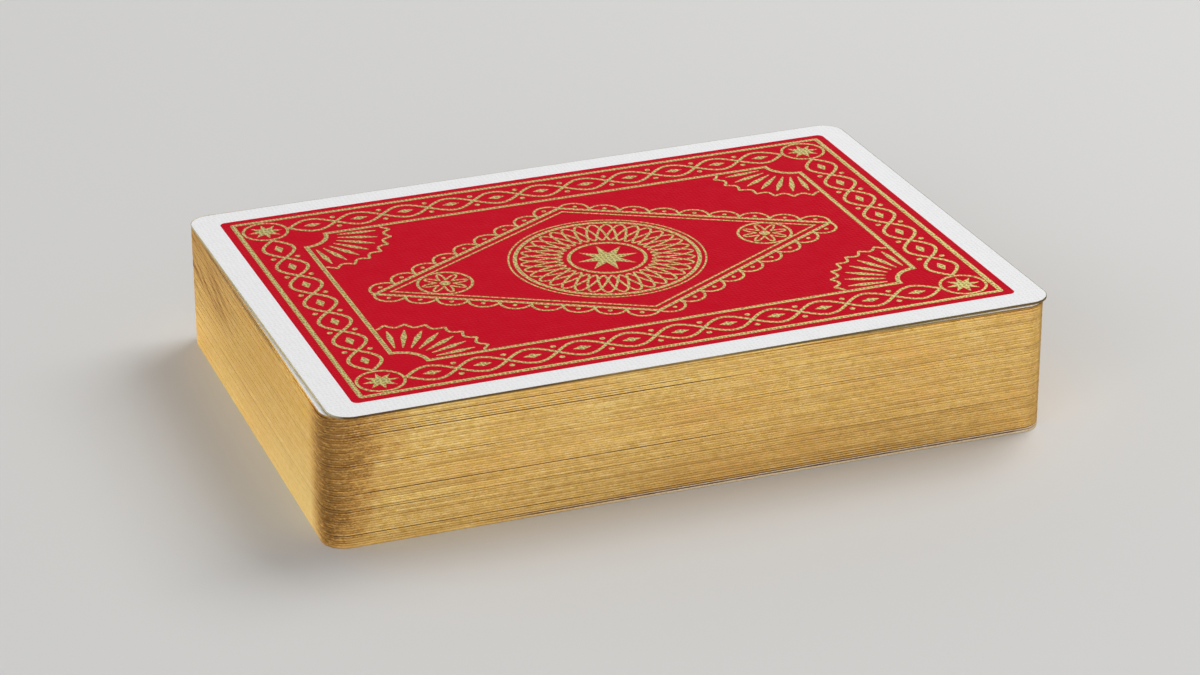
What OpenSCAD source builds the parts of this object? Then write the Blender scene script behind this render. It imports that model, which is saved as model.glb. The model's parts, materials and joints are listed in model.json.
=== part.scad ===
// A deck of poker-size playing cards with gilt edges, lying face down and squared up by hand.
// Lengths are millimetres and angles degrees. The deck rests on z = 0, long sides along X.

/* [Card] */
// Length of a card
card_length = 88.9; // [70:0.1:120]
// Width of a card
card_width = 63.5; // [45:0.1:80]
// Thickness of the card stock
card_thickness = 0.28; // [0.2:0.01:0.4]
// Radius of the rounded corners
corner_radius = 2.8; // [2:0.1:8]
// Bevel that the cutting die leaves around both faces
edge_bevel = 0.02; // [0.01:0.005:0.08]

/* [Deck] */
// Air that the embossed finish holds between two cards
air_gap = 0.012; // [0.005:0.001:0.1]
// Wider gap that is left where the deck was parted and put together again
parting_gap = 0.04; // [0.01:0.01:0.2]
// How far the deck leans along X, from its bottom card to its top
lean_x = 0.18; // [-1:0.01:1]
// How far it leans along Y
lean_y = 0.1; // [-1:0.01:1]
// Furthest that a card in the deck strays along X or Y
stray_shift = 0.015; // [0:0.005:0.3]
// Furthest that a card in the deck strays in turn
stray_turn = 0.01; // [0:0.01:0.3]

/* [Top card] */
// Shift of the top card along X
top_shift_x = 0.46; // [-2:0.01:2]
// Shift of the top card along Y
top_shift_y = -0.03; // [-2:0.01:2]
// Turn of the top card, anticlockwise from above
top_turn = 0.99; // [-3:0.01:3]

/* [Second card] */
// Shift of the second card along X
second_shift_x = 0.23; // [-2:0.01:2]
// Shift of the second card along Y
second_shift_y = 0.18; // [-2:0.01:2]
// Turn of the second card, anticlockwise from above
second_turn = 0.2; // [-3:0.01:3]

/* [Hidden] */
$fn = 64;

suits = ["spades", "diamonds", "clubs", "hearts"];
ranks = ["ace", "two", "three", "four", "five", "six", "seven",
         "eight", "nine", "ten", "jack", "queen", "king"];
extra_cards = ["red_joker", "black_joker", "blank_card_1", "blank_card_2"];

// A new deck's order: the first two suits climb from the ace, the last two fall back to it
function rank_at(suit, step) = ranks[suit < 2 ? step : len(ranks) - 1 - step];

// Every card from the bottom of the deck to the top
NODES = concat(extra_cards, [
    for (suit = [0 : len(suits) - 1], step = [0 : len(ranks) - 1])
        str(rank_at(suit, step), "_of_", suits[suit])
]);

top = len(NODES) - 1;

// How many cards lie under each parting of the deck
partings = [5, 16, 22, 35, 46];

corner_x = card_length / 2 - corner_radius;
corner_y = card_width / 2 - corner_radius;

// Steps of the golden angle never repeat, so every card strays its own way. The bottom card doesn't.
golden_angle = 137.508;
function stray(i, way) = sin(golden_angle * way * i);

function card_shift(i) =
    i == top ? [top_shift_x, top_shift_y] :
    i == top - 1 ? [second_shift_x, second_shift_y] :
    [lean_x, lean_y] * i / top + stray_shift * [stray(i, 1), stray(i, 2)];

function card_turn(i) =
    i == top ? top_turn :
    i == top - 1 ? second_turn :
    stray_turn * stray(i, 3);

function partings_below(i) = len([for (under = partings) if (under <= i) under]);

function card_height(i) =
    i * (card_thickness + air_gap) + partings_below(i) * (parting_gap - air_gap);

// Section through a card from its middle to an edge that lies reach away
module edge_section(reach) {
    flat = reach - edge_bevel;
    polygon([
        [0, 0], [flat, 0], [reach, edge_bevel],
        [reach, card_thickness - edge_bevel], [flat, card_thickness], [0, card_thickness]
    ]);
}

// Slab with a cut edge on its two long sides, which lie across apart
module slab(across, run) {
    rotate([90, 0, 0])
        linear_extrude(run, center = true) {
            edge_section(across / 2);
            mirror([1, 0]) edge_section(across / 2);
        }
}

// One die-cut blank: two crossed slabs between the corner centres, and a turned disc at each corner
module blank() {
    slab(card_length, 2 * corner_y);
    rotate(90) slab(card_width, 2 * corner_x);
    for (x = [-corner_x, corner_x], y = [-corner_y, corner_y])
        translate([x, y, 0]) rotate_extrude() edge_section(corner_radius);
}

// The card that lies i cards above the bottom one. Only the top card shows its printed back.
module card(i) {
    color(i == top ? "firebrick" : "goldenrod")
        translate([card_shift(i).x, card_shift(i).y, card_height(i)])
            rotate(card_turn(i)) blank();
}

for (i = [0 : top])
    card(i);
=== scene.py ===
import json
import math

import bpy
import numpy as np
from mathutils import Matrix, Vector
from mathutils.geometry import delaunay_2d_cdt


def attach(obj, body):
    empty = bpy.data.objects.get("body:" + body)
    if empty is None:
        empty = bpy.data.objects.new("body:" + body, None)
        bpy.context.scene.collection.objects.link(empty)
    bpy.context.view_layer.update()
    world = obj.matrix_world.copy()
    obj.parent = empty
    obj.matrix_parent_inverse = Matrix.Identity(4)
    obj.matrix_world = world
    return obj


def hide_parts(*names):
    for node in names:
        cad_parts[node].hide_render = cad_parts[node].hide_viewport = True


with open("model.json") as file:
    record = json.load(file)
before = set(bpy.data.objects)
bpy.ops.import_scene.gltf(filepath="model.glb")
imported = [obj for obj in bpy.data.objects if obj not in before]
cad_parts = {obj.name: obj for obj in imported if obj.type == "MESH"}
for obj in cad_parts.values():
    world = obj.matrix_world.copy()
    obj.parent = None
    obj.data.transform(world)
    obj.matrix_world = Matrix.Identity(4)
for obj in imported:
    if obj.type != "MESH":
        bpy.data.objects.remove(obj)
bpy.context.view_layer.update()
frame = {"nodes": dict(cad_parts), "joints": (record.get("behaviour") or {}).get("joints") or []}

mm = 0.001  # prints and cards are worked out in millimetres, the meshes are in metres
mapScale = 0.01  # one unit of a card's own map is 100 mm
mapMiddle = 0.5  # where a card's middle lies on its own map
quarter = math.pi / 2
whole = (0.0, 1.0)


# The deck as packed

sameDigits = 4  # places that agree to this many digits of a millimetre are one place


# All vertices of a mesh, as rows of x, y and z
def meshPlaces(mesh):
    places = np.empty(3 * len(mesh.vertices), np.float32)
    mesh.vertices.foreach_get("co", places)
    return places.reshape(-1, 3).astype(float)


# Rows of points turned anticlockwise about the origin, by the cosine and the sine of the angle
def turned(points, angle):
    cosine, sine = math.cos(angle), math.sin(angle)
    return points @ np.array([[cosine, sine], [-sine, cosine]])


# A card's middle, its heights and its turn. Its corners lie evenly about its middle, so that is the mean of
# their places, and the direction in which they spread furthest is its long side.
def readCard(node):
    places = meshPlaces(frame["nodes"][node].data) / mm
    corners = np.unique(places[:, :2].round(sameDigits), axis=0)
    middle = corners.mean(0)
    long = np.linalg.eigh(np.cov((corners - middle).T))[1][:, 1]
    turn = math.atan(long[1] / long[0])
    return {
        "node": node,
        "middle": middle,
        "turn": turn,
        "low": places[:, 2].min(),
        "high": places[:, 2].max(),
        "half": turned(corners - middle, -turn).max(0),
        "bevel": np.diff(np.unique(places[:, 2].round(sameDigits)))[0],
    }


deck = sorted((readCard(node) for node in frame["nodes"]), key=lambda card: card["low"])
halfCard = deck[0]["half"]
cardThick = deck[0]["high"] - deck[0]["low"]
pivots = {joint["child"]: joint["pos_m"] for joint in frame["joints"] if joint["type"] == "hinge"}


# The fan turns about the middle of a corner's arc, so the radius is what the card has beyond it.
def cornerRadius(card):
    reach = np.array(pivots[card["node"]][:2]) / mm - card["middle"]
    return card["half"][0] - turned(reach, -card["turn"])[0]


cardRadius = cornerRadius(deck[1])
print("deck:", len(deck), "cards of", (2 * halfCard).round(2), "mm, corners", round(cardRadius, 2), "mm")


# Materials

# Links a socket to another one, or gives it a number, a vector or a colour of its own.
def feed(socket, value):
    if isinstance(value, bpy.types.NodeSocket):
        socket.id_data.links.new(value, socket)
    else:
        socket.default_value = (*value, 1) if socket.type == "RGBA" else value


# A node with its settings, and with what is fed to its inputs
def addNode(tree, kind, values=None, **settings):
    node = tree.nodes.new(kind)
    for name, setting in settings.items():
        setattr(node, name, setting)
    for name, value in (values or {}).items():
        feed(node.inputs[name], value)
    return node


# A new material and its node tree
def startMaterial(name):
    material = bpy.data.materials.new(name)
    material.use_nodes = True
    return material, material.node_tree


# Feeds the sockets of a material's shader by their names.
def dress(material, looks):
    shader = material.node_tree.nodes["Principled BSDF"]
    for name, value in looks.items():
        feed(shader.inputs[name], value)
    return material


# The first colour where the factor is 0, the second where it is 1, and a blend between
def mixColours(factor, first, second):
    mix = addNode(factor.id_data, "ShaderNodeMix", {"Factor": factor}, data_type="RGBA")
    colourSockets = [socket for socket in mix.inputs if socket.type == "RGBA"]
    for socket, colour in zip(colourSockets, (first, second)):
        feed(socket, colour)
    return next(socket for socket in mix.outputs if socket.type == "RGBA")


# A value between two ends, carried on a straight line to two new ends and held there beyond them
def remap(value, ends, newEnds=whole):
    names = ("Value", "From Min", "From Max", "To Min", "To Max")
    values = dict(zip(names, (value, *ends, *newEnds)))
    return addNode(value.id_data, "ShaderNodeMapRange", values).outputs["Result"]


# Sockets and numbers worked together by one operation, from the first to the last
def combine(operation, *values):
    tree = next(value.id_data for value in values if isinstance(value, bpy.types.NodeSocket))
    result = values[0]
    for value in values[1:]:
        node = addNode(tree, "ShaderNodeMath", {0: result, 1: value}, operation=operation)
        result = node.outputs["Value"]
    return result


# The product of sockets and numbers
def times(*values):
    return combine("MULTIPLY", *values)


# A vector's parts along x, y and z
def splitVector(vector):
    return addNode(vector.id_data, "ShaderNodeSeparateXYZ", {"Vector": vector}).outputs[:]


# Cloudy noise about 0.5. Detail is how many finer noises are added to it, and rough how strong they are.
def addNoise(vector, scale=1.0, detail=2.0, rough=0.5):
    values = {"Vector": vector, "Scale": scale, "Detail": detail, "Roughness": rough}
    return addNode(vector.id_data, "ShaderNodeTexNoise", values).outputs["Fac"]


# Relief that leans the normals, as if the surface rose by depth, in millimetres, where the height is 1
def addBump(height, depth):
    values = {"Height": height, "Strength": 1.0, "Distance": depth * mm}
    return addNode(height.id_data, "ShaderNodeBump", values).outputs["Normal"]


linen = {
    "pitch": 0.53, "depth": 0.034,  # from thread to thread, and how high a thread stands
    "wobble": 4.5, "wobbleDetail": 1.0, "wobbleScale": 1.5,  # how noise bends the threads
}
waveTurn = 20.0  # radians that a wave texture of scale 1 turns through in one unit


# Linen finish: fine ridges along and across the card. The height is the greater of two sine waves at right
# angles, each bent by noise, as pressed threads are.
def addLinen(tree):
    cardMap = addNode(tree, "ShaderNodeUVMap", uv_map="card").outputs["UV"]
    waves = []
    for way in ("X", "Y"):
        wave = addNode(tree, "ShaderNodeTexWave", {
            "Vector": cardMap,
            "Scale": 2 * math.pi / waveTurn / (linen["pitch"] * mapScale),
            "Distortion": linen["wobble"],
            "Detail": linen["wobbleDetail"],
            "Detail Scale": linen["wobbleScale"],
        }, bands_direction=way)
        waves.append(wave.outputs["Fac"])
    return cardMap, combine("MAXIMUM", *waves)


stock = {
    "colour": (0.835, 0.833, 0.837), "shade": (0.725, 0.725, 0.74), "rough": (0.45, 0.6), "shine": 0.2,
}
redInk = {
    "colour": (0.53, 0.0026, 0.0158), "shade": (0.485, 0.0022, 0.0138), "rough": (0.5, 0.62), "shine": 0.015,
}
blackInk = {
    "colour": (0.012, 0.012, 0.014), "shade": (0.03, 0.03, 0.034), "rough": (0.45, 0.55), "shine": 0.2,
}
printLook = {
    "valley": (1.0, 0.1),  # heights on the linen between which the shade comes in
    "mottle": 45.0, "mottleFrom": (0.25, 0.75), "mottleShade": (0.3, 1.0),  # it eases the shade in places
    "roughFrom": (0.3, 0.7),
}


# Paper and ink share the linen: the shade is the product of its valleys and a faint mottle.
def makePrint(name, colour, shade, rough, shine):
    material, tree = startMaterial(name)
    cardMap, height = addLinen(tree)
    mottle = addNoise(cardMap, printLook["mottle"])
    shaded = times(remap(height, printLook["valley"]),
                   remap(mottle, printLook["mottleFrom"], printLook["mottleShade"]))
    return dress(material, {
        "Base Color": mixColours(shaded, colour, shade),
        "Roughness": remap(mottle, printLook["roughFrom"], rough),
        "Specular IOR Level": shine,
        "Normal": addBump(height, linen["depth"]),
    })


foil = {
    "bright": (0.815, 0.75, 0.27), "wearAndShade": (0.36, 0.255, 0.07), "rough": (0.32, 0.5), "depth": 0.03,
    "valley": (0.98, 0.6),  # heights on the linen between which the painted shade comes in
    "flecks": 420.0, "valleyShadeFrom": (0.22, 0.5), "roughFrom": (0.3, 0.7),
}


# Gold foil on the linen: bright on the threads, with painted shade in the valleys between them, fleck by
# fleck.
def makeFoil():
    material, tree = startMaterial("goldFoil")
    cardMap, height = addLinen(tree)
    flecks = addNoise(cardMap, foil["flecks"])
    # painted shade: the foil darkens in the linen's valleys
    wearAndShade = times(remap(height, foil["valley"]), remap(flecks, foil["valleyShadeFrom"]))
    return dress(material, {
        "Base Color": mixColours(wearAndShade, foil["bright"], foil["wearAndShade"]),
        "Roughness": remap(flecks, foil["roughFrom"], foil["rough"]),
        "Metallic": 1.0,
        "Normal": addBump(height, foil["depth"]),
    })


# Gilt on the cut edges

# What each card has for its own edge
lookNames = ["seed", "tone", "topTone", "secondTone", "wear", "grooveFrom", "grooveTo", "grooveWide"]
clouds = {  # noise in space: how often it changes in a metre along x, y and z, its detail and its roughness
    "blotch": ((60.0, 60.0, 170.0), 6.0, 0.68),  # patches about 16 mm long and 6 mm high
    "mottle": ((1300.0, 1000.0, 1700.0), 3.0, 0.6),
    "grain": ((3200.0, 1100.0, 6500.0), 2.0, 0.5),
    "raggedCloud": ((700.0, 700.0, 1300.0), 4.0, 0.5),
}
edgeRuns = {  # noise along a card's edge: how often it changes in a millimetre, its offset and its detail
    "streak": (0.07, 0.0, 3.0),
    "chance": (0.022, 40.0, 2.0),
    "flecks": (0.7, 80.0, 3.0),
    "seam": (0.07, 160.0, 4.0),
}
leftSide = {"from": (0.6, 0.1), "calm": (1.0, 0.12)}  # how much of the front's marks is left there


# Noise in space that is stretched along x, y and z
def addCloud(place, scale, detail, rough):
    mapping = addNode(place.id_data, "ShaderNodeMapping", {"Vector": place, "Scale": scale})
    return addNoise(mapping.outputs["Vector"], detail=detail, rough=rough)


# Noise on a plane, at the place that two values give
def addPlaneNoise(first, second, detail=2.0):
    place = addNode(first.id_data, "ShaderNodeCombineXYZ", {"X": first, "Y": second})
    return addNoise(place.outputs["Vector"], detail=detail)


# What the gilt at a spot is worked out from: its place, its way round the card and its height on the edge, in
# millimetres, the card's own values, the noises, and whether it is on the left side or the front.
def readSpot(tree):
    place = addNode(tree, "ShaderNodeTexCoord").outputs["Object"]
    cardMap = addNode(tree, "ShaderNodeUVMap", uv_map="card").outputs["UV"]
    spot = {name: times(part, 1 / mm) for name, part in zip("xyz", splitVector(place))}
    for name, part in zip(("wayRound", "height"), splitVector(cardMap)):
        spot[name] = times(part, 1 / mapScale)
    spot["fromLeft"] = combine("ADD", spot["x"], halfCard[0])
    spot["fromFront"] = combine("ADD", spot["y"], halfCard[1])
    for name in lookNames:
        spot[name] = addNode(tree, "ShaderNodeAttribute", attribute_name=name).outputs["Fac"]
    for name, values in clouds.items():
        spot[name] = addCloud(place, *values)
    for name, (rate, offset, detail) in edgeRuns.items():
        along = times(spot["wayRound"], rate)
        spot[name] = addPlaneNoise(along, combine("ADD", spot["seed"], offset), detail)
    spot["left"] = remap(spot["fromLeft"], leftSide["from"])
    spot["front"] = combine("SUBTRACT", 1.0, spot["left"])
    spot["calm"] = remap(spot["left"], whole, leftSide["calm"])
    return spot


gold = {
    "yellow": (1.0, 0.745, 0.30), "orange": (0.94, 0.565, 0.195), "blotchFrom": (0.36, 0.64),
    "paleFrom": (-6.0, -28.0), "pale": 0.11, "paleFoot": 0.65,  # painted light, paler towards the left
    # painted highlights: glints of a paler gold in the flecks
    "glint": (1.0, 0.86, 0.48), "glintFrom": (0.42, 0.28), "glints": (0.0, 0.4),
    "rich": (0.98, 0.66, 0.13), "richFrom": (0.42, 0.62), "richSides": (0.6, 0.9),  # front and left
    "deep": (0.60, 0.36, 0.11), "deepFrom": (0.45, 0.72),
    "frontDeep": {"flecks": (0.0, 0.32), "streak": (0.0, 0.25)},  # how much each noise deepens the front
    "allDeep": {"mottle": (0.0, 0.22), "grain": (0.0, 0.32)},  # and how much all sides
    "toneFrom": (0.35, 0.65), "toneDeep": (0.15, 0.5),
    "footHigh": (9.0, 0.0), "footDeep": (0.0, 0.4),  # painted shade: the lowest edges are darker
}


# Gold: two golds in cloudy patches, with painted highlights as glints, richer small clouds, and painted light
# that pales the front towards its left. It is deepened by a sum of the foot's painted shade, the card's own
# tone and the noises.
def addGold(spot):
    # painted light: the front is paler towards its left
    pale = times(spot["front"], remap(spot["x"], gold["paleFrom"]))
    blotch = combine("SUBTRACT", spot["blotch"], times(pale, gold["pale"]))
    colour = mixColours(remap(blotch, gold["blotchFrom"]), gold["yellow"], gold["orange"])
    # painted highlights: glints in the flecks
    glint = remap(spot["flecks"], gold["glintFrom"], gold["glints"])
    colour = mixColours(glint, colour, gold["glint"])
    rich = times(remap(spot["mottle"], gold["richFrom"]), remap(spot["left"], whole, gold["richSides"]))
    colour = mixColours(rich, colour, gold["rich"])

    # painted shade at the foot of the front, less where it is paler
    foot = combine("SUBTRACT", spot["front"], times(pale, gold["paleFoot"]))
    tone = remap(spot["streak"], gold["toneFrom"], gold["toneDeep"])
    deep = [
        times(foot, remap(spot["z"], gold["footHigh"], gold["footDeep"])),
        times(spot["tone"], tone, spot["calm"]),
    ]
    for name, ends in gold["frontDeep"].items():
        deep.append(times(spot["calm"], remap(spot[name], gold["deepFrom"], ends)))
    for name, ends in gold["allDeep"].items():
        deep.append(remap(spot[name], gold["deepFrom"], ends))
    return mixColours(remap(combine("ADD", *deep), whole), colour, gold["deep"])


leftLightShade = {
    "straw": (0.97, 0.80, 0.40), "strawHigh": (0.9, 0.15), "strawMost": (0.0, 0.72),  # painted highlight, towards its foot
    "strawFar": (0.3, 1.0), "strawFade": (1.0, 0.25),  # less so at its far end
    "paintedShade": (0.38, 0.18, 0.048), "shadeFar": (0.3, 1.0),  # painted shade, towards the top of its far end
    "rimHigh": (12.8, 15.0), "rimFrom": (-27.0, -8.0), "rimShade": (0.0, 0.42),  # and painted shade along its top
}


# The left side's painted light and shade: a straw highlight in a product of lowness and nearness, and brown
# shade in the product of height and farness or along the rim, whichever is more.
def addLeftLightShade(colour, spot):
    far = remap(spot["fromFront"], (0.0, 2 * halfCard[1]), leftLightShade["shadeFar"])
    high = remap(spot["z"], (0.0, deck[-1]["high"]))
    # painted highlight: straw towards the foot and the near end
    straw = times(spot["left"], remap(high, leftLightShade["strawHigh"], leftLightShade["strawMost"]),
                  remap(far, leftLightShade["strawFar"], leftLightShade["strawFade"]))
    colour = mixColours(straw, colour, leftLightShade["straw"])
    # painted shade: brown towards the top of the far end and along the rim
    rim = times(remap(spot["z"], leftLightShade["rimHigh"]),
                remap(spot["y"], leftLightShade["rimFrom"], leftLightShade["rimShade"]))
    paintedShade = times(spot["left"], combine("MAXIMUM", times(far, high), rim))
    return mixColours(paintedShade, colour, leftLightShade["paintedShade"])


leftStreaks = {
    "brown": (0.35, 0.155, 0.035), "slope": 0.3, "across": 0.85, "along": 0.05, "dark": (0.48, 0.6),
    "from": (5.0, 19.0), "high": (6.0, 10.0),  # they come in towards the far end and the top
}


# Slanting dark streaks on the left side: noise that changes fast across a sloping line and slowly along it
def addLeftStreaks(colour, spot):
    drop = combine("SUBTRACT", spot["z"], times(spot["y"], leftStreaks["slope"]))
    noise = addPlaneNoise(times(drop, leftStreaks["across"]), times(spot["y"], leftStreaks["along"]))
    streakShare = times(spot["left"], remap(noise, leftStreaks["dark"]),
                  remap(spot["y"], leftStreaks["from"]), remap(spot["z"], leftStreaks["high"]))
    return mixColours(streakShare, colour, leftStreaks["brown"])


# brown of the painted shade on the front corners
shadeBrown = (0.32, 0.165, 0.047)
cornerShade = {
    "amber": (0.64, 0.36, 0.105), "amberFrom": (0.0, 0.5), "shadeBrownFrom": (0.35, 0.95),
    "reach": 4.4, "growth": 0.38,  # along the front at the foot, and what each millimetre of height adds
    "raggedFrom": (0.3, 0.7), "ragged": (0.72, 1.35),
    "fade": (1.05, 0.15),  # shares of the reach
    "side": (6.8, 2.0),  # from the front, on the left side
    "footHigh": (0.0, 3.0), "foot": (0.5, 1.0),
    "brokenFrom": (0.35, 0.65), "broken": {"grain": (1.3, 0.6), "flecks": (1.2, 0.8), "tone": (0.85, 1.15)},
}


# Painted shade, a dark reflection, on the front left corner. It fades along the front over a reach that grows
# with the height and is made ragged by a cloud, and over a few millimetres on the left. Noise breaks it up.
def addCornerShade(colour, spot):
    reach = combine("ADD", times(spot["z"], cornerShade["growth"]), cornerShade["reach"])
    reach = times(reach, remap(spot["raggedCloud"], cornerShade["raggedFrom"], cornerShade["ragged"]))
    dark = times(remap(combine("DIVIDE", spot["fromLeft"], reach), cornerShade["fade"]),
                 remap(spot["fromFront"], cornerShade["side"]),
                 remap(spot["z"], cornerShade["footHigh"], cornerShade["foot"]))
    for name, ends in cornerShade["broken"].items():
        dark = times(dark, remap(spot[name], cornerShade["brokenFrom"], ends))
    colour = mixColours(remap(dark, cornerShade["amberFrom"]), colour, cornerShade["amber"])
    return mixColours(remap(dark, cornerShade["shadeBrownFrom"]), colour, shadeBrown)


turnedAway = {"from": (43.3, 44.1), "to": (-28.6, -29.6), "dark": (0.0, 0.75)}


# Painted shade on the front right corner where it turns away, which comes in along x and along y.
def addTurnedShade(colour, spot):
    dark = times(remap(spot["x"], turnedAway["from"], turnedAway["dark"]), remap(spot["y"], turnedAway["to"]))
    return mixColours(dark, colour, shadeBrown)


rubbed = {"pale": (0.80, 0.72, 0.57), "from": (-26.0, -4.0), "grainFrom": (0.6, 0.4), "grain": (0.5, 1.0)}


# The lowest cards' gilt is rubbed pale towards the right, speck by speck.
def addRubbed(colour, spot):
    wearAndShade = times(spot["wear"], remap(spot["x"], rubbed["from"]),
                 remap(spot["grain"], rubbed["grainFrom"], rubbed["grain"]))
    return mixColours(wearAndShade, colour, rubbed["pale"])


cardLineShade = {
    "dark": (0.10, 0.03, 0.045),
    "seamHigh": (0.085, 0.035), "seamFrom": (0.35, 0.65), "seam": (0.0, 0.1),  # faint painted shade, under every card
    "grooveHigh": (0.12, 0.08), "grooveFade": (0.0, 6.0),  # darker stretches, which fade out at both ends
    "chanceFrom": (0.66, 0.76),  # some of them come by chance
    "brokenFrom": (0.3, 0.6), "broken": (1.0, 0.7),
}


# Painted shade in the lines between cards: a faint seam everywhere, or a groove that is set or comes by
# chance, whichever is more
def addCardLineShade(colour, spot):
    begun = remap(combine("SUBTRACT", spot["wayRound"], spot["grooveFrom"]), cardLineShade["grooveFade"])
    ending = remap(combine("SUBTRACT", spot["grooveTo"], spot["wayRound"]), cardLineShade["grooveFade"])
    chance = times(remap(spot["chance"], cardLineShade["chanceFrom"]), spot["calm"])
    # painted shade: grooves between cards, set or by chance
    groove = times(combine("MAXIMUM", times(begun, ending), chance),
                   remap(combine("DIVIDE", spot["height"], spot["grooveWide"]), cardLineShade["grooveHigh"]),
                   remap(spot["flecks"], cardLineShade["brokenFrom"], cardLineShade["broken"]))
    # painted shade: a faint seam under every card
    seam = times(remap(spot["height"], cardLineShade["seamHigh"]),
                 remap(spot["seam"], cardLineShade["seamFrom"], cardLineShade["seam"]), spot["calm"])
    return mixColours(combine("MAXIMUM", seam, groove), colour, cardLineShade["dark"])


darkTops = {
    "brown": (0.085, 0.048, 0.018), "olive": (0.11, 0.085, 0.04), "oliveFrom": (-15.0, 5.0),
    "left": (0.46, 0.46, 0.33), "leftFrom": (2.5, 1.5), "leftTone": (1.0, 0.85),
    "middleFrom": (-18.0, -10.0), "middleTo": (10.0, 2.0), "middleTone": (1.0, 0.78),
    "topHigh": (0.0, 0.14), "topTone": (0.45, 1.0),
    "secondFrom": (14.0, 26.0), "secondHigh": (0.05, 0.17),
}


# The top card's edge is darker, less so on the left side and in the middle of the front. The second card's
# has painted shade towards the right, under the top card's overhang. Both are darkest along the top.
def addDarkTops(colour, spot):
    x, height = spot["x"], spot["height"]
    onLeft = remap(spot["fromLeft"], darkTops["leftFrom"])
    inMiddle = times(remap(x, darkTops["middleFrom"]), remap(x, darkTops["middleTo"]))
    top = times(spot["topTone"], remap(height, darkTops["topHigh"], darkTops["topTone"]),
                remap(inMiddle, whole, darkTops["middleTone"]), remap(onLeft, whole, darkTops["leftTone"]))
    # painted shade on the second card's edge, under the top card's overhang
    second = times(spot["secondTone"], remap(height, darkTops["secondHigh"]),
                   remap(x, darkTops["secondFrom"]))
    darkEdge = mixColours(remap(x, darkTops["oliveFrom"]), darkTops["brown"], darkTops["olive"])
    darkEdge = mixColours(onLeft, darkEdge, darkTops["left"])
    return mixColours(combine("MAXIMUM", top, second), colour, darkEdge)


gilt = {"rough": (0.36, 0.56), "roughFrom": (0.3, 0.7), "sheen": (1.0, 0.92, 0.69), "depth": 0.008}


# Gilt: the gold, and one after another the overlays of painted light and shade, dark streaks and rubbed wear,
# with the grain as its relief
def makeGilt():
    material, tree = startMaterial("giltEdge")
    spot = readSpot(tree)
    colour = addGold(spot)
    overlays = (addLeftLightShade, addLeftStreaks, addCornerShade, addTurnedShade, addRubbed, addCardLineShade, addDarkTops)
    for addOverlay in overlays:
        colour = addOverlay(colour, spot)
    return dress(material, {
        "Base Color": colour,
        "Roughness": remap(spot["grain"], gilt["roughFrom"], gilt["rough"]),
        "Metallic": 1.0,
        "Specular Tint": gilt["sheen"],
        "Normal": addBump(spot["grain"], gilt["depth"]),
    })


inkNames = ["stock", "red", "foil", "black", "gilt"]
inkMaterials = [
    makePrint("cardStock", **stock),
    makePrint("redInk", **redInk),
    makeFoil(),
    makePrint("blackInk", **blackInk),
    makeGilt(),
]
print("materials:", ", ".join(material.name for material in inkMaterials))


# Shapes of the prints, in millimetres on the card. Each is a pair: its points, and its faces as rows of point
# numbers. Step is how far apart a curve's points lie.

cornerSigns = [(1, 1), (-1, 1), (-1, -1), (1, -1)]  # a rectangle's corners, anticlockwise


# Unit vectors: the cosine and the sine of each angle
def bearings(angles):
    return np.stack([np.cos(angles), np.sin(angles)], -1)


# A line: a strip of the given width carried along a path. At each point the two runs' normals are added and
# lengthened until the strip's sides meet, so corners are mitred.
def strip(path, width, closed=False):
    path = np.asarray(path, float)
    count = len(path)
    runs = np.roll(path, -1, 0) - path
    after = np.column_stack([-runs[:, 1], runs[:, 0]]) / np.hypot(runs[:, 0], runs[:, 1])[:, None]
    before = np.roll(after, 1, 0)
    if not closed:
        after[-1] = after[-2]
        before[0] = after[0]
    meet = after + before
    meet *= 2 / (meet * meet).sum(1, keepdims=True)
    half = np.broadcast_to(np.asarray(width, float) / 2, count)[:, None]
    points = np.concatenate([path + meet * half, path - meet * half])
    here = np.arange(count if closed else count - 1)
    there = (here + 1) % count
    return points, np.column_stack([here + count, there + count, there, here])


# A filled outline: one face with all the points of a path
def solid(path):
    return np.asarray(path, float), np.arange(len(path))[None]


# Points along an arc, 3 at least: the angle runs evenly from one bearing to the other.
def arc(middle, radius, fromAngle, toAngle, step):
    count = max(3, math.ceil(abs(toAngle - fromAngle) * radius / step) + 1)
    return np.asarray(middle) + radius * bearings(np.linspace(fromAngle, toAngle, count))


# A closed curve about a middle whose radius swings by a cosine, lobes times in a turn. A lobe has at least 4
# points, and a plain circle as many as 3 lobes.
def ring(middle, radius, step, swing=0.0, lobes=0, turn=0.0):
    length = 2 * math.pi * math.hypot(radius, swing * lobes)
    count = max(4 * max(lobes, 3), math.ceil(length / step))
    angle = np.arange(count) * 2 * math.pi / count
    reach = radius + swing * np.cos(lobes * angle + turn)
    return np.asarray(middle) + reach[:, None] * bearings(angle)


# A star: the radius goes back and forth between the tips and the notches.
def star(middle, tip, notch, tips, turn=0.0):
    number = np.arange(2 * tips)
    reach = np.where(number % 2, notch, tip)
    return np.asarray(middle) + reach[:, None] * bearings(turn + number * math.pi / tips)


# A lozenge: a corner on each side of the origin, along x and along y
def lozenge(halfX, halfY):
    return np.array([[halfX, 0], [0, halfY], [-halfX, 0], [0, -halfY]])


# A rectangle with round corners, anticlockwise: a quarter arc about each corner's middle
def roundFrame(half, radius, step):
    inner = np.asarray(half) - radius
    return np.concatenate([
        arc(inner * signs, radius, k * quarter, (k + 1) * quarter, step)
        for k, signs in enumerate(cornerSigns)
    ])


# A rectangle whose corners are cut by hollow quarter arcs about the corners themselves
def hollowFrame(half, radius, step):
    return np.concatenate([
        arc(np.asarray(half) * signs, radius, (k + 3) * quarter, (k + 2) * quarter, step)
        for k, signs in enumerate(cornerSigns)
    ])


# The back

chain = {
    "eyes": (11, 7),  # on a long side and on a short one
    "strand": 0.42, "swing": 1.9, "seed": (1.15, 0.55), "bead": 0.34,
    "beadAside": 0.8,  # share of the swing
    "eyePoints": 6, "slack": 1.3,  # a strand is longer than its eye
}


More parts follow.
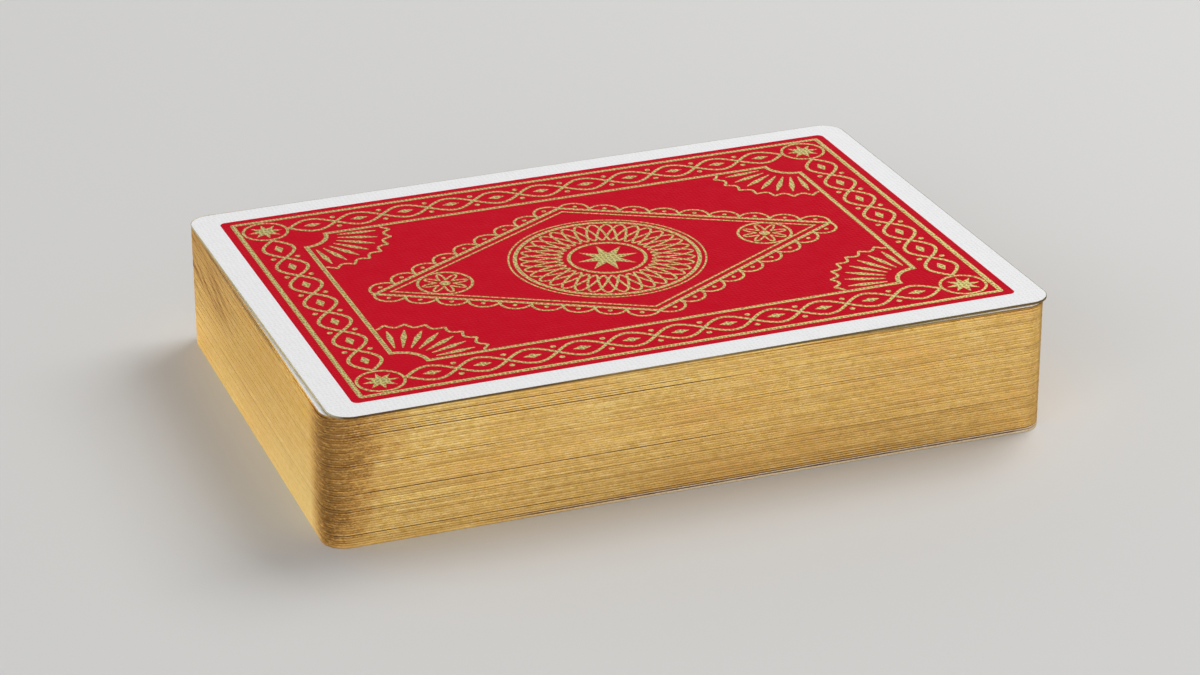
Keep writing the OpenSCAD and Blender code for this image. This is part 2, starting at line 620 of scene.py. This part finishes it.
# Interlaced border along one side: two strands that swing against each other as a sine, with a seed in every
# eye and a bead on both sides of every crossing.
def interlace(start, end, eyes, step):
    start, end = np.asarray(start, float), np.asarray(end, float)
    length = np.hypot(*(end - start))
    ahead = (end - start) / length
    aside = np.array([-ahead[1], ahead[0]])
    eyePoints = max(chain["eyePoints"], math.ceil(length / eyes * chain["slack"] / step))
    along = np.linspace(0, 1, eyes * eyePoints + 1)
    swing = chain["swing"] * np.sin(math.pi * eyes * along)
    shapes = []
    for way in (1, -1):
        path = start + along[:, None] * length * ahead + way * swing[:, None] * aside
        shapes.append(strip(path, chain["strand"]))
    seed = lozenge(*chain["seed"]) @ np.array([ahead, aside])
    for k in range(eyes):
        shapes.append(solid(start + (k + 0.5) / eyes * length * ahead + seed))
    for k in range(1, eyes):
        crossing = start + k / eyes * length * ahead
        for way in (1, -1):
            bead = crossing + way * chain["beadAside"] * chain["swing"] * aside
            shapes.append(solid(ring(bead, chain["bead"], step)))
    return shapes


diamond = {
    "half": (29.6, 17.2), "line": 0.5, "hairIn": 1.05, "hair": 0.26,
    "scallops": 9, "scallopLine": 0.32, "bead": 0.272, "beadOut": 0.45,  # share of a scallop's radius
}


# The diamond in the middle: two lines, and on each side a row of half-round scallops with beads in them
def diamondFrame(step):
    halfX, halfY = diamond["half"]
    corners = lozenge(halfX, halfY)
    inner = 1 - diamond["hairIn"] / (halfX * halfY / math.hypot(halfX, halfY))
    shapes = [strip(corners, diamond["line"], True), strip(corners * inner, diamond["hair"], True)]
    for start, end in zip(corners, np.roll(corners, -1, 0)):
        side = end - start
        facing = math.atan2(-side[0], side[1])
        radius = np.hypot(*side) / diamond["scallops"] / 2
        for k in range(diamond["scallops"]):
            middle = start + side * (k + 0.5) / diamond["scallops"]
            scallop = arc(middle, radius, facing - quarter, facing + quarter, step / 2)
            bead = middle + diamond["beadOut"] * radius * bearings(facing)
            shapes.append(strip(scallop, diamond["scallopLine"]))
            shapes.append(solid(ring(bead, diamond["bead"], step / 2)))
    return shapes


rosette = {
    "weave": 8.1, "weaveSwing": 2.5, "weaveLobes": 12, "weaveRings": 3, "weaveLine": 0.30,
    "rimOut": 0.65, "rimLine": 0.5, "hairOut": 0.8, "hairLine": 0.22,
    "hub": 4.7, "hubLine": 0.42, "star": (3.9, 1.45), "starTips": 8,
}


# The rosette in the middle: woven rings turned evenly against each other, between plain rings, about a star
def middleRosette(step):
    shapes = []
    for k in range(rosette["weaveRings"]):
        turn = k * 2 * math.pi / rosette["weaveRings"]
        woven = ring((0, 0), rosette["weave"], step, rosette["weaveSwing"], rosette["weaveLobes"], turn)
        shapes.append(strip(woven, rosette["weaveLine"], True))
    rim = rosette["weave"] + rosette["weaveSwing"] + rosette["rimOut"]
    plainRings = [(rim, "rimLine"), (rim + rosette["hairOut"], "hairLine"), (rosette["hub"], "hubLine")]
    shapes += [strip(ring((0, 0), radius, step), rosette[line], True) for radius, line in plainRings]
    return shapes + [solid(star((0, 0), *rosette["star"], rosette["starTips"]))]


sideRosette = {
    "at": 20.8, "radius": 3.3, "line": 0.34,
    "petals": 8, "petalLine": 0.26,
    "petalReach": 0.58, "petalSwing": 0.26, "hub": 0.2,  # shares of the radius
}


# A small rosette on each side of it: a plain ring, a ring of petals whose radius swings, and a round hub
def smallRosette(middle, step):
    radius = sideRosette["radius"]
    reach, swing, hub = (radius * sideRosette[name] for name in ("petalReach", "petalSwing", "hub"))
    return [
        strip(ring(middle, radius, step), sideRosette["line"], True),
        strip(ring(middle, reach, step / 2, swing, sideRosette["petals"]), sideRosette["petalLine"], True),
        solid(ring(middle, hub, step / 2)),
    ]


fan = {
    "rays": 7, "reach": (4.3, 9.2), "widest": 0.6, "widths": (0.16, 0.75, 0.12),  # from root to tip
    "rim": 10.9, "rimWave": 0.9, "rimLine": 0.34, "waveLong": 3.2, "wavePoints": 6,
    "cornerIn": 0.4,
}


# A quarter fan in a corner of the field: rays that swell and taper, and a rim whose radius is cut back by the
# size of a cosine.
def cornerFan(corner, towards, step):
    rays, (inner, outer) = fan["rays"], fan["reach"]
    reach = np.array([inner, inner + fan["widest"] * (outer - inner), outer])
    shapes = []
    for k in range(rays):
        ray = bearings(towards + quarter * ((k + 0.5) / rays - 0.5))
        shapes.append(strip(corner + reach[:, None] * ray, fan["widths"]))
    wavePoints = max(fan["wavePoints"], math.ceil(fan["waveLong"] / step))
    angle = np.linspace(-quarter / 2, quarter / 2, rays * wavePoints + 1)
    rim = fan["rim"] - fan["rimWave"] * np.abs(np.cos(rays * (2 * angle + quarter)))
    shapes.append(strip(corner + rim[:, None] * bearings(towards + angle), fan["rimLine"]))
    return shapes


back = {
    "border": (3.39, 3.29),  # white, on the short and the long sides
    "panelRadius": 0.8, "outerIn": 1.05, "outerLine": 0.6, "outerRadius": 0.2, "cornerStep": 0.2,
    "bandWidth": 6.1, "innerLine": 0.55, "hollow": 3.4,
    "cornerRing": 2.75, "cornerLine": 0.34, "cornerStar": (2.15, 0.95), "starTips": 8,
}


# The whole back, from the red panel to the foil lines on it: each frame's half sizes are worked out from the
# one outside it.
def backPrint(step):
    panel = halfCard - back["border"]
    outer = panel - back["outerIn"] - back["outerLine"] / 2
    band = outer - back["outerLine"] / 2 - back["bandWidth"] / 2
    run = band - back["bandWidth"] / 2
    inner = run - back["innerLine"] / 2
    shapes = [
        strip(roundFrame(outer, back["outerRadius"], back["cornerStep"]), back["outerLine"], True),
        strip(hollowFrame(inner, back["hollow"], step), back["innerLine"], True),
    ]
    for side in (1, -1):
        shapes += interlace((-run[0], side * band[1]), (run[0], side * band[1]), chain["eyes"][0], step)
        shapes += interlace((side * band[0], -run[1]), (side * band[0], run[1]), chain["eyes"][1], step)
        shapes += smallRosette((side * sideRosette["at"], 0), step)
        for end in (1, -1):
            corner = band * (side, end)
            shapes.append(strip(ring(corner, back["cornerRing"], step), back["cornerLine"], True))
            shapes.append(solid(star(corner, *back["cornerStar"], back["starTips"])))
            shapes += cornerFan((inner - fan["cornerIn"]) * (side, end), math.atan2(-end, -side), step)
    shapes += diamondFrame(step) + middleRosette(step)
    red = solid(roundFrame(panel, back["panelRadius"], back["cornerStep"]))
    return [(red, "red")] + [(shape, "foil") for shape in shapes]


# Faces: pips, indices and plain court emblems, laid out upright with x to the right and y up. Most shapes are
# one unit high until they are placed.

pipHalf = 0.5
heart = {"points": 36, "sine": 16.0, "cosines": (13.0, -5.0, -2.0, -1.0), "lift": 2.5, "high": 29.0}
stem = {"points": 5, "neck": 0.03, "flare": 0.16, "foot": -0.5, "high": 0.55}
diamondPip = {"points": 24, "half": (0.38, 0.5), "hollow": 1.25}
spade = {"leaf": (1, 0.92), "lift": (0, 0.06)}
club = {"leaves": [(0, 0.24), (-0.25, -0.10), (0.25, -0.10)], "leaf": 0.235, "step": 0.06, "stem": (0.9, 1)}


# Heart curve, point down: x is the cube of a sine, y a sum of four cosines, lifted and divided by its height.
def heartPath():
    t = np.arange(heart["points"]) * 2 * math.pi / heart["points"]
    x = heart["sine"] * np.sin(t) ** 3
    y = sum(size * np.cos(k * t) for k, size in enumerate(heart["cosines"], 1))
    return np.column_stack([-x, y + heart["lift"]]) / heart["high"]


# Stem of a spade or a club: its sides curve in as a square of the height.
def stemPath():
    high = np.linspace(0, 1, stem["points"])
    side = stem["neck"] + stem["flare"] * (1 - high) ** 2
    right = np.column_stack([side, stem["foot"] + stem["high"] * high])
    return np.concatenate([right, (right * (-1, 1))[::-1]])


# Pip of a diamond: a circle whose x and y are raised to a power above 1, which makes its sides hollow
def diamondPath():
    wave = bearings(np.arange(diamondPip["points"]) * 2 * math.pi / diamondPip["points"])
    return np.sign(wave) * np.abs(wave) ** diamondPip["hollow"] * diamondPip["half"]


# A suit's pip: a spade is a heart upside down on a stem, and a club is three round leaves on one.
def suitShapes(suit):
    if suit == "hearts":
        return [solid(heartPath())]
    if suit == "diamonds":
        return [solid(diamondPath())]
    if suit == "spades":
        return [solid(-heartPath() * spade["leaf"] + spade["lift"]), solid(stemPath())]
    leaves = [solid(ring(leaf, club["leaf"], club["step"])) for leaf in club["leaves"]]
    return leaves + [solid(stemPath() * club["stem"])]


# Shapes made larger and moved. A size below 0 also turns them upside down.
def placed(shapes, middle, size):
    return [(np.asarray(middle) + size * points, faces) for points, faces in shapes]


ranks = {
    "ace": "A", "two": "2", "three": "3", "four": "4", "five": "5", "six": "6", "seven": "7",
    "eight": "8", "nine": "9", "ten": "10", "jack": "J", "queen": "Q", "king": "K",
}
index = {
    "at": (-26.8, 36.6), "high": 6.4, "width": (0.82, 1), "roundness": 3,
    "pip": 4.4, "pipDown": 6.6,
}


# Digits and letters: Blender's own font as a mesh of triangles, centred, made one unit high and narrowed
def glyph(text):
    curve = bpy.data.curves.new("index", "FONT")
    curve.body = text
    curve.resolution_u = index["roundness"]
    holder = bpy.data.objects.new("index", curve)
    mesh = bpy.data.meshes.new_from_object(holder)
    points = meshPlaces(mesh)[:, :2]
    corners = np.empty(len(mesh.loops), np.int32)
    mesh.loops.foreach_get("vertex_index", corners)
    bpy.data.objects.remove(holder)
    bpy.data.curves.remove(curve)
    bpy.data.meshes.remove(mesh)
    low, high = points.min(0), points.max(0)
    points = (points - (low + high) / 2) / (high[1] - low[1])
    return [(points * index["width"], corners.reshape(-1, 3))]


glyphs = {rank: glyph(text) for rank, text in ranks.items()}

crown = {
    "tips": {"jack": 3, "queen": 5, "king": 7},  # more tips, higher rank
    "spread": 1.1, "tip": 0.30, "notch": 0.02, "half": 0.44, "foot": -0.24,
    "band": (-0.38, -0.29), "beadHigh": 0.36, "bead": 0.05, "beadStep": 0.02,
}


# A plain crown: a zigzag whose tips carry beads, closed by a straight foot, and a band under it
def crownShapes(tips):
    count = 2 * tips - 1
    across = crown["spread"] * np.linspace(-0.5, 0.5, count)
    zigzag = np.where(np.arange(count) % 2, crown["notch"], crown["tip"])
    half, foot, (low, high) = crown["half"], crown["foot"], crown["band"]
    outline = np.concatenate([np.column_stack([across, zigzag])[::-1], [[-half, foot], [half, foot]]])
    band = [(-half, low), (half, low), (half, high), (-half, high)]
    beads = [solid(ring((x, crown["beadHigh"]), crown["bead"], crown["beadStep"])) for x in across[::2]]
    return [solid(outline), solid(band)] + beads


joker = {
    "star": 30.0, "starNotch": 0.21, "starTips": 8,
    "rings": {18.5: 0.5, 19.8: 0.25}, "ringStep": 0.8,  # radius and line
    "pipNotch": 0.2, "pipTips": 5,
}


# The middle of a joker: a star in two rings
def jokerShapes():
    tips = joker["starTips"]
    emblem = solid(star((0, 0), pipHalf, joker["starNotch"], tips, math.pi / tips))
    shapes = placed([emblem], (0, 0), joker["star"])
    for radius, line in joker["rings"].items():
        shapes.append(strip(ring((0, 0), radius, joker["ringStep"]), line, True))
    return shapes


court = {
    "frame": (19.5, 32.0), "radius": 1.5, "step": 0.6, "line": 0.45,
    "crown": 20.0, "crownUp": 10.5, "pipUp": 24.5,
}
pips = {"column": 13.2, "row": 26.5, "high": 10.5, "aceHigh": 22.0}
pipRows = {  # columns and rows of pips
    1: [(0, 0)],
    2: [(0, 1), (0, -1)],
    3: [(0, 1), (0, 0), (0, -1)],
    4: [(-1, 1), (1, 1), (-1, -1), (1, -1)],
}
pipRows[5] = pipRows[4] + [(0, 0)]
pipRows[6] = pipRows[4] + [(-1, 0), (1, 0)]
pipRows[7] = pipRows[6] + [(0, 0.5)]
pipRows[8] = pipRows[7] + [(0, -0.5)]
pipRows[9] = pipRows[4] + [(-1, 1 / 3), (1, 1 / 3), (-1, -1 / 3), (1, -1 / 3), (0, 0)]
pipRows[10] = pipRows[9][:-1] + [(0, 2 / 3), (0, -2 / 3)]


# The middle of a court card: a framed field, and in each half of it a crown and a pip
def courtShapes(rank, pip):
    halfX = court["frame"][0]
    shapes = [
        strip(roundFrame(court["frame"], court["radius"], court["step"]), court["line"], True),
        strip([(-halfX, 0), (halfX, 0)], court["line"]),
    ]
    for way in (1, -1):
        shapes += placed(crownShapes(crown["tips"][rank]), (0, way * court["crownUp"]), way * court["crown"])
        shapes += placed(pip, (0, way * court["pipUp"]), way * pips["high"])
    return shapes


# The middle of a number card: its pips in columns and rows, upside down in the lower half
def numberShapes(rank, pip):
    high = pips["aceHigh"] if rank == "ace" else pips["high"]
    shapes = []
    for column, row in pipRows[list(ranks).index(rank) + 1]:
        shapes += placed(pip, (column * pips["column"], row * pips["row"]), -high if row < 0 else high)
    return shapes


# A face: its middle, and an index over a small pip in two opposite corners. A spare card's face is blank.
def facePrint(node):
    if node.startswith("blank"):
        return []
    if node.endswith("joker"):
        ink = node.split("_")[0]
        letters, pip = [], [solid(star((0, 0), pipHalf, joker["pipNotch"], joker["pipTips"], quarter))]
        shapes = jokerShapes()
    else:
        rank, suit = node.split("_of_")
        ink = "red" if suit in ("hearts", "diamonds") else "black"
        letters, pip = glyphs[rank], suitShapes(suit)
        shapes = courtShapes(rank, pip) if rank in crown["tips"] else numberShapes(rank, pip)
    for way in (1, -1):
        corner = way * np.array(index["at"])
        below = corner - (0, way * index["pipDown"])
        shapes += placed(letters, corner, way * index["high"]) + placed(pip, below, way * index["pip"])
    # Seen from below, up is the end away from the fan's pivot, and right is towards the player
    return [((points[:, ::-1] * -1, faces), ink) for points, faces in shapes]


# Cards

edge = {
    "bevel": deck[0]["bevel"], "bevelSteps": 3, "cornerStep": 0.25,
    "seep": 0.05, "deepSeep": 0.22,  # how far the gilt seeps in from the edge
}

# The card's outline and its outward directions: quarter arcs joined by the straight sides
flatHalf = halfCard - edge["bevel"]
flatRadius = cardRadius - edge["bevel"]
cardOutline = roundFrame(flatHalf, flatRadius, edge["cornerStep"])
arcMiddles = np.sign(cardOutline) * (flatHalf - flatRadius)
outward = (cardOutline - arcMiddles) / flatRadius
sideRuns = np.hypot(*(np.roll(cardOutline, -1, 0) - cardOutline).T)
girth = np.concatenate([[0], np.cumsum(sideRuns)])

# The cut edge's profile from the back to the face: a round bevel, the straight edge and a round bevel, as how
# far each line stands out and how high it lies
bend = np.linspace(0, quarter, edge["bevelSteps"] + 1)
standOut = edge["bevel"] * np.concatenate([np.sin(bend), np.cos(bend)])
upperHeight = cardThick - edge["bevel"] * (1 - np.cos(bend))
lowerHeight = edge["bevel"] * (1 - np.sin(bend))
edgeHeight = np.concatenate([upperHeight, lowerHeight])

# The profile carried round the outline, without its first and last line, which belong to the printed sides
rimPoints = (cardOutline + standOut[1:-1, None, None] * outward).reshape(-1, 2)
rimHeights = np.repeat(edgeHeight[1:-1], len(cardOutline))

# The edge on the card's own map: the way round and the height, at the four corners of every quad
wayRound = np.stack([girth[:-1], girth[:-1], girth[1:], girth[1:]], -1)
rowHeights = np.stack([edgeHeight[:-1], edgeHeight[1:], edgeHeight[1:], edgeHeight[:-1]], -1)
edgeMap = np.stack(np.broadcast_arrays(wayRound, rowHeights[:, None]), -1).reshape(-1, 2) * mapScale

sliver = 1e-6  # faces of fewer square millimetres are dropped
samePlace = 1e-4  # points of a sheet that are closer than this, in millimetres, are one
insideOnly = 1  # the cutter's setting for triangles inside the outlines


# Faces that turn anticlockwise: quads are halved, slivers are dropped, and clockwise faces are turned over. A
# face's area is half the sum of its corners' cross products, and below 0 if it turns clockwise.
def facingUp(points, faces):
    if faces.shape[1] == 4:
        faces = faces[:, [[0, 1, 2], [0, 2, 3]]].reshape(-1, 3)
    x, y = np.moveaxis(points[faces], -1, 0)
    area = (x * np.roll(y, -1, 1) - y * np.roll(x, -1, 1)).sum(1) / 2
    return np.where(area[:, None] > 0, faces, faces[:, ::-1])[np.abs(area) > sliver]


# A printed side is one flat sheet, cut along the outlines of its inks so that no layer lies over another. The
# card's outline comes first, and a triangle takes the ink of the last shape that covers it.
def cutSheet(shapes, seep):
    paper = solid(roundFrame(flatHalf - seep, flatRadius - seep, edge["cornerStep"]))
    points, faces, inks = [], [], []
    start = 0
    for (shapePoints, shapeFaces), ink in [(solid(cardOutline), "gilt"), (paper, "stock")] + shapes:
        shapeFaces = facingUp(shapePoints, shapeFaces)
        points.append(shapePoints)
        faces += (start + shapeFaces).tolist()
        inks += [inkNames.index(ink)] * len(shapeFaces)
        start += len(shapePoints)
    cut = delaunay_2d_cdt(np.concatenate(points).tolist(), [], faces, insideOnly, samePlace)
    places, triangles, fromPoints, fromFaces = cut[0], cut[2], cut[3], cut[5]
    where = {k: number for number, ids in enumerate(fromPoints) for k in ids if k < len(cardOutline)}
    return {
        "points": np.array([tuple(place) for place in places]),
        "triangles": np.array(triangles),
        "inks": np.array(inks)[[max(ids, default=0) for ids in fromFaces]],
        "rim": np.array([where[k] for k in range(len(cardOutline))]),
    }


# A new object in the scene
def addObject(name, data):
    piece = bpy.data.objects.new(name, data)
    bpy.context.scene.collection.objects.link(piece)
    return piece


# The card: its back sheet, its face sheet, and the edge profile carried round its outline between them
def makeCard(card, backSheet, faceSheet, looks):
    backCount, faceCount = len(backSheet["points"]), len(faceSheet["points"])
    flat = np.concatenate([backSheet["points"], faceSheet["points"], rimPoints])
    high = np.concatenate([np.full(backCount, cardThick), np.zeros(faceCount), rimHeights])
    places = np.column_stack([turned(flat, card["turn"]) + card["middle"], high + card["low"]])
    triangles = np.concatenate([backSheet["triangles"], backCount + faceSheet["triangles"][:, ::-1]])
    rows = np.vstack([
        backSheet["rim"],
        backCount + faceCount + np.arange(len(rimPoints)).reshape(-1, len(cardOutline)),
        backCount + faceSheet["rim"],
    ])
    after = np.roll(rows, -1, 1)
    quads = np.stack([rows[:-1], rows[1:], after[1:], after[:-1]], -1).reshape(-1, 4)

    mesh = bpy.data.meshes.new(card["node"] + "_card")
    mesh.from_pydata((places * mm).tolist(), [], triangles.tolist() + quads.tolist())
    for material in inkMaterials:
        mesh.materials.append(material)
    giltSlots = np.full(len(quads), inkNames.index("gilt"))
    slots = np.concatenate([backSheet["inks"], faceSheet["inks"], giltSlots])
    mesh.polygons.foreach_set("material_index", slots)
    mesh.polygons.foreach_set("use_smooth", np.arange(len(slots)) >= len(triangles))
    sideMap = flat[triangles.ravel()] * mapScale + mapMiddle
    cardMap = mesh.uv_layers.new(name="card")
    cardMap.uv.foreach_set("vector", np.concatenate([sideMap, edgeMap]).ravel().astype(np.float32))
    for name, value in looks.items():
        attribute = mesh.attributes.new(name, "FLOAT", "POINT")
        attribute.data.foreach_set("value", np.full(len(places), value, np.float32))
    mesh.validate()

    piece = addObject(card["node"] + "_card", mesh)
    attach(piece, card["node"])
    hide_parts(card["node"])


pack = {
    "topTone": 0.94, "secondTone": 0.8,  # darker edges of the top two cards; the second's is painted shade
    "wornCards": 2, "wornGilt": 0.9,  # the lowest cards' gilt is rubbed
    "grooves": {  # painted shade under a card: where a groove starts and ends along the front, and how wide it is
        1: (-26, 46, 1.9), 2: (-30, 48, 0.9), 3: (-12, 30, 0.7), 4: (8, 34, 0.7), 5: (-48, -10, 0.8),
        13: (4, 44, 0.5), 15: (-48, -24, 0.6), 22: (-44, 7, 0.9), 34: (-50, -20, 1), 36: (2, 28, 0.6),
        38: (12, 48, 0.5), 46: (-44, 7, 1), 47: (-46, -4, 0.7), 48: (-46, 4, 0.8), 51: (-46, -8, 1),
        52: (-94, -64, 1.2), 53: (-99, -60, 2.2), 54: (-99, -63, 1.3),
    },
    "noGroove": (0, -100, 1),  # it ends before it starts
    "seedStep": 3.7, "toneStep": 0.4472,  # how noise and tone differ from card to card
    "fineStep": 0.22, "plainStep": 0.7,  # of the back's curves, on the top card and on the rest
}
frontCorner = -flatHalf + (flatRadius, 0)
frontStart = girth[np.argmin(np.abs(cardOutline - frontCorner).sum(1))]
frontMiddle = frontStart + flatHalf[0] - flatRadius  # the way round to the middle of the front


# What a card has for its own edge, by its number from the bottom and from the top
def edgeLooks(number, fromTop):
    grooveFrom, grooveTo, grooveWide = pack["grooves"].get(number, pack["noGroove"])
    return {
        "seed": pack["seedStep"] * number,
        "tone": pack["toneStep"] * number % 1,
        "topTone": pack["topTone"] if fromTop == 0 else 0.0,
        "secondTone": pack["secondTone"] if fromTop == 1 else 0.0,
        "wear": pack["wornGilt"] if number < pack["wornCards"] else 0.0,
        "grooveFrom": frontMiddle + grooveFrom,
        "grooveTo": frontMiddle + grooveTo,
        "grooveWide": grooveWide,
    }


topBack = cutSheet(backPrint(pack["fineStep"]), edge["seep"])
secondBack = cutSheet(backPrint(pack["plainStep"]), edge["seep"])
plainBack = cutSheet(backPrint(pack["plainStep"]), edge["deepSeep"])
print("back print:", len(topBack["triangles"]), "triangles on the top card")
print("back print:", len(plainBack["triangles"]), "triangles on the rest")

for number, card in enumerate(deck):
    fromTop = len(deck) - 1 - number
    backSheet = {0: topBack, 1: secondBack}.get(fromTop, plainBack)
    faceSheet = cutSheet(facePrint(card["node"]), edge["seep"])
    makeCard(card, backSheet, faceSheet, edgeLooks(number, fromTop))
print("cards:", len(deck))


# Floor, lights and camera

floor = {"half": 12.0, "drop": 0.02, "colour": (0.62, 0.615, 0.605), "rough": 0.7}  # half in m, drop in mm


# The floor: a flat square a hair below the deck
def makeFloor():
    mesh = bpy.data.meshes.new("floor")
    corners = [(x * floor["half"], y * floor["half"], -floor["drop"] * mm) for x, y in cornerSigns]
    mesh.from_pydata(corners, [], [(0, 1, 2, 3)])
    material = startMaterial("paleFloor")[0]
    mesh.materials.append(dress(material, {"Base Color": floor["colour"], "Roughness": floor["rough"]}))
    piece = addObject("floor", mesh)


makeFloor()

lights = {  # in metres and watts
    "key": {"at": (0.55, 0.25, 0.75), "size": (0.6, 0.6), "power": 5.9},
    "fill": {"at": (-0.70, -0.85, 0.40), "size": (0.9, 0.9), "power": 5.8},
    "front": {"at": (0.35, -1.32, 0.11), "size": (1.2, 0.2), "power": 3.1},  # low, for the gilt to reflect
    "side": {"at": (-0.90, 0.75, 0.11), "size": (0.9, 0.2), "power": 5.05},
}


# A soft rectangular light that faces the deck
def makeLight(name, at, size, power):
    lamp = bpy.data.lights.new(name, "AREA")
    lamp.shape = "RECTANGLE"
    lamp.size, lamp.size_y = size
    lamp.energy = power
    light = addObject(name, lamp)
    light.location = at
    light.rotation_euler = (-Vector(at)).to_track_quat("-Z", "Y").to_euler()


for lightName, values in lights.items():
    makeLight(lightName, **values)

sky = {
    "clear": (0.95, 0.12),  # strength around the deck and above it
    "hazeHigh": (0.0, 0.07), "haze": (0.29, 1.0),  # it is darker at the horizon
}


# The sky: a white whose strength changes with the height
def makeWorld():
    world = bpy.data.worlds.new("studio")
    bpy.context.scene.world = world
    world.use_nodes = True
    tree = world.node_tree
    upward = splitVector(addNode(tree, "ShaderNodeTexCoord").outputs["Generated"])[2]
    strength = times(remap(upward, whole, sky["clear"]), remap(upward, sky["hazeHigh"], sky["haze"]))
    background = tree.nodes["Background"]
    feed(background.inputs["Color"], (1, 1, 1))
    feed(background.inputs["Strength"], strength)


makeWorld()

camera = {
    "at": (-132.78, -374.00, 183.74), "towards": (-2.28, -4.76, 8.24), "roll": 0.694,
    "lens": 106.19, "sensor": 36.0, "nearest": 10.0,
}


# The camera: it looks from one place towards another and is rolled about that line.
def makeCamera():
    data = bpy.data.cameras.new("camera")
    data.sensor_width = camera["sensor"]
    data.lens = camera["lens"]
    data.clip_start = camera["nearest"] * mm
    place, aim = Vector(camera["at"]) * mm, Vector(camera["towards"]) * mm
    look = (aim - place).to_track_quat("-Z", "Y").to_matrix()
    turn = look @ Matrix.Rotation(-math.radians(camera["roll"]), 3, "Z")
    viewer = addObject("camera", data)
    viewer.matrix_world = Matrix.Translation(place) @ turn.to_4x4()
    bpy.context.scene.camera = viewer


makeCamera()
bpy.context.scene.view_settings.view_transform = "Standard"
print("stage: floor, lights and camera")
